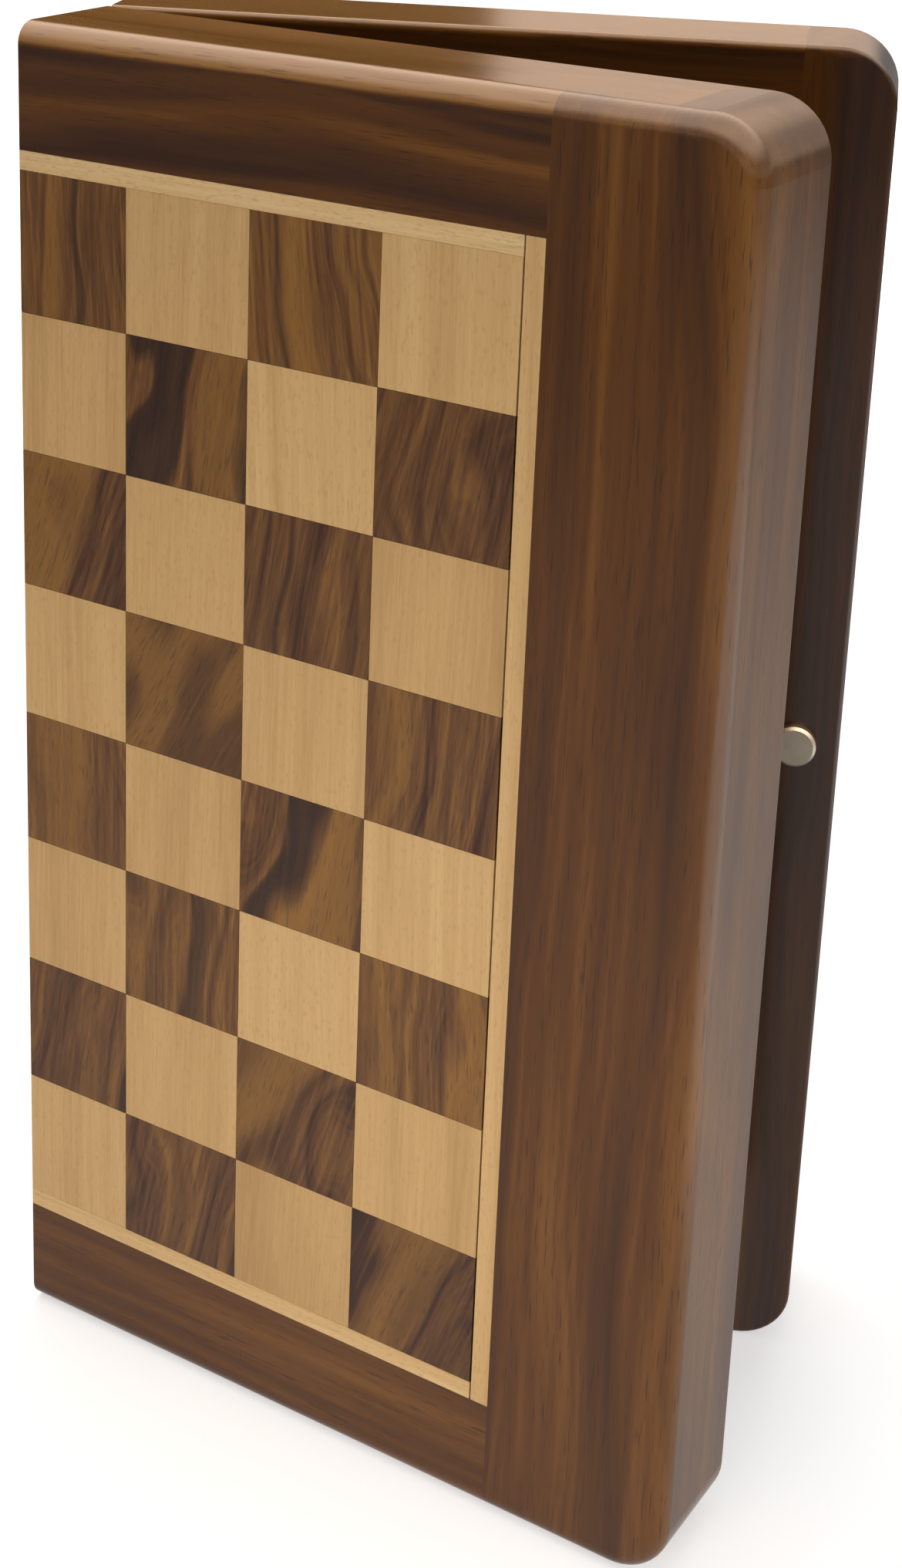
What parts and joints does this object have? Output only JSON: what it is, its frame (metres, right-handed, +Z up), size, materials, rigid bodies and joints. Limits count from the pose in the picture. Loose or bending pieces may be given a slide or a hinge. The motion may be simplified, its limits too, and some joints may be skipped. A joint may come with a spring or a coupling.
{
  "type": "magnetic travel chess set",
  "caption": "Folding wooden chess box, standing ajar on its end: a squared playing face outside each hinged tray, magnetic closing stud, and men in foam slots inside.",
  "frame": {"origin": "centre of the near half's lower end, the face that it stands on", "axes": "+Z up along the long side, -Y out of the near half's playing face, +X from the fold to the opening side"},
  "size_m": [0.1465, 0.0973, 0.254],
  "materials": {
    "rosewood_frame": "gloss lacquered sheesham, straight grain",
    "rosewood_squares": "lacquered sheesham, streaked",
    "rosewood_men": "turned and lacquered sheesham",
    "maple": "lacquered maple",
    "boxwood": "turned and lacquered boxwood",
    "plywood": "raw birch plywood",
    "steel": "tinned sheet",
    "magnet": "plated disc",
    "nickel": "worn nickel plate",
    "brass": "drawn and tumbled",
    "foam": "die-cut closed-cell foam",
    "felt": "pressed wool felt"
  },
  "bodies": {
    "front_half": {"front_outer_stile": "rosewood_frame", "front_top_rail": "rosewood_frame", "front_bottom_rail": "rosewood_frame", "front_fold_wall": "rosewood_frame", "front_base_panel": "plywood", "front_steel_sheet": "steel", "front_dark_squares": "rosewood_squares", "front_light_squares": "maple", "front_side_strip": "maple", "front_top_strip": "maple", "front_bottom_strip": "maple", "front_foam_insert": "foam", "closing_magnet": "magnet", "upper_hinge_front_leaf": "brass", "lower_hinge_front_leaf": "brass", "upper_hinge_pin": "brass", "lower_hinge_pin": "brass", "front_hinge_screws": "brass", "light_king": "boxwood", "light_queen": "boxwood", "light_bishops": "boxwood", "light_knights": "boxwood", "light_rooks": "boxwood", "light_pawns": "boxwood", "light_magnets": "magnet", "light_felts": "felt"},
    "rear_half": {"rear_outer_stile": "rosewood_frame", "rear_top_rail": "rosewood_frame", "rear_bottom_rail": "rosewood_frame", "rear_fold_wall": "rosewood_frame", "rear_base_panel": "plywood", "rear_steel_sheet": "steel", "rear_dark_squares": "rosewood_squares", "rear_light_squares": "maple", "rear_side_strip": "maple", "rear_top_strip": "maple", "rear_bottom_strip": "maple", "rear_foam_insert": "foam", "closing_stud": "nickel", "upper_hinge_rear_leaf": "brass", "lower_hinge_rear_leaf": "brass", "rear_hinge_screws": "brass", "dark_king": "rosewood_men", "dark_queen": "rosewood_men", "dark_bishops": "rosewood_men", "dark_knights": "rosewood_men", "dark_rooks": "rosewood_men", "dark_pawns": "rosewood_men", "dark_magnets": "magnet", "dark_felts": "felt"}
  },
  "joints": [
    {"name": "fold", "type": "hinge", "parent": "front_half", "child": "rear_half", "pos_m": [-0.06885, 0.01277, 0.127], "axis": [0, 0, 1], "range_deg": [-21, 159]}
  ]
}
